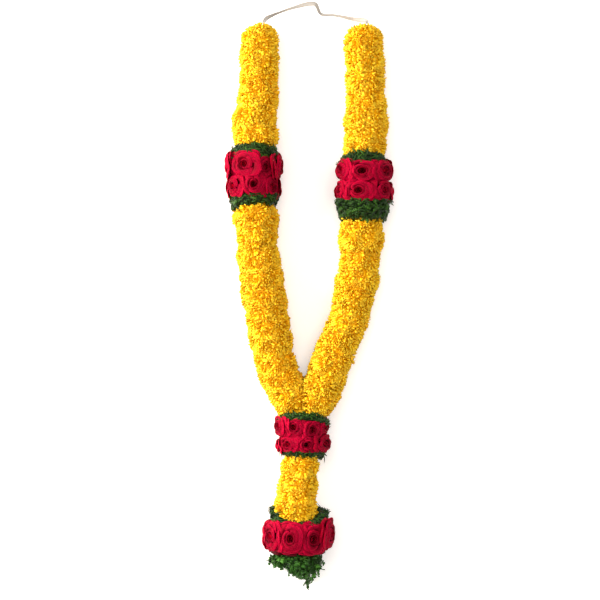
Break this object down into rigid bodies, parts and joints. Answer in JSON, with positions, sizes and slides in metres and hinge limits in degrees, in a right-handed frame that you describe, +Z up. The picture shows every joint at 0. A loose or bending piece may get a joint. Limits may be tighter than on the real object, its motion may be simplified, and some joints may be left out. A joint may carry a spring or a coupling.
{
  "type": "chrysanthemum garland",
  "caption": "Threaded chrysanthemum garland with rose bands, leaf collars, a leafy tassel and a gauze neck ribbon, laid flat face up.",
  "frame": {"origin": "on the surface that the garland lies on, under the middle of its length and width without the neck ribbon", "axes": "+X across the garland, +Y along it from the tassel to the neck, +Z up out of the surface, towards the face that shows"},
  "size_m": [0.3086, 1.0569, 0.1277],
  "materials": {
    "chrysanthemum_petals": "soft matt petals",
    "rose_petals": "velvety petals",
    "leaves": "satin leaves",
    "cotton_twine": "matt twisted cotton",
    "gauze_ribbon": "sheer gauze"
  },
  "bodies": {
    "root": {"chrysanthemums_lower_left": "chrysanthemum_petals", "chrysanthemums_lower_right": "chrysanthemum_petals", "chrysanthemums_stem": "chrysanthemum_petals", "chrysanthemums_upper_left": "chrysanthemum_petals", "chrysanthemums_upper_right": "chrysanthemum_petals", "core_string": "cotton_twine", "foliage_end_top": "leaves", "foliage_left_bottom": "leaves", "foliage_left_top": "leaves", "foliage_middle_bottom": "leaves", "foliage_middle_top": "leaves", "foliage_right_bottom": "leaves", "foliage_right_top": "leaves", "foliage_tassel": "leaves", "neck_ribbon": "gauze_ribbon", "rose_end_01": "rose_petals", "rose_end_02": "rose_petals", "rose_end_03": "rose_petals", "rose_end_04": "rose_petals", "rose_end_05": "rose_petals", "rose_end_06": "rose_petals", "rose_end_07": "rose_petals", "rose_end_08": "rose_petals", "rose_left_01": "rose_petals", "rose_left_02": "rose_petals", "rose_left_03": "rose_petals", "rose_left_04": "rose_petals", "rose_left_05": "rose_petals", "rose_left_06": "rose_petals", "rose_left_07": "rose_petals", "rose_left_08": "rose_petals", "rose_left_09": "rose_petals", "rose_left_10": "rose_petals", "rose_left_11": "rose_petals", "rose_left_12": "rose_petals", "rose_middle_01": "rose_petals", "rose_middle_02": "rose_petals", "rose_middle_03": "rose_petals", "rose_middle_04": "rose_petals", "rose_middle_05": "rose_petals", "rose_middle_06": "rose_petals", "rose_middle_07": "rose_petals", "rose_middle_08": "rose_petals", "rose_middle_09": "rose_petals", "rose_middle_10": "rose_petals", "rose_middle_11": "rose_petals", "rose_middle_12": "rose_petals", "rose_middle_13": "rose_petals", "rose_right_01": "rose_petals", "rose_right_02": "rose_petals", "rose_right_03": "rose_petals", "rose_right_04": "rose_petals", "rose_right_05": "rose_petals", "rose_right_06": "rose_petals", "rose_right_07": "rose_petals", "rose_right_08": "rose_petals", "rose_right_09": "rose_petals", "rose_right_10": "rose_petals", "rose_right_11": "rose_petals", "rose_right_12": "rose_petals"}
  },
  "joints": []
}
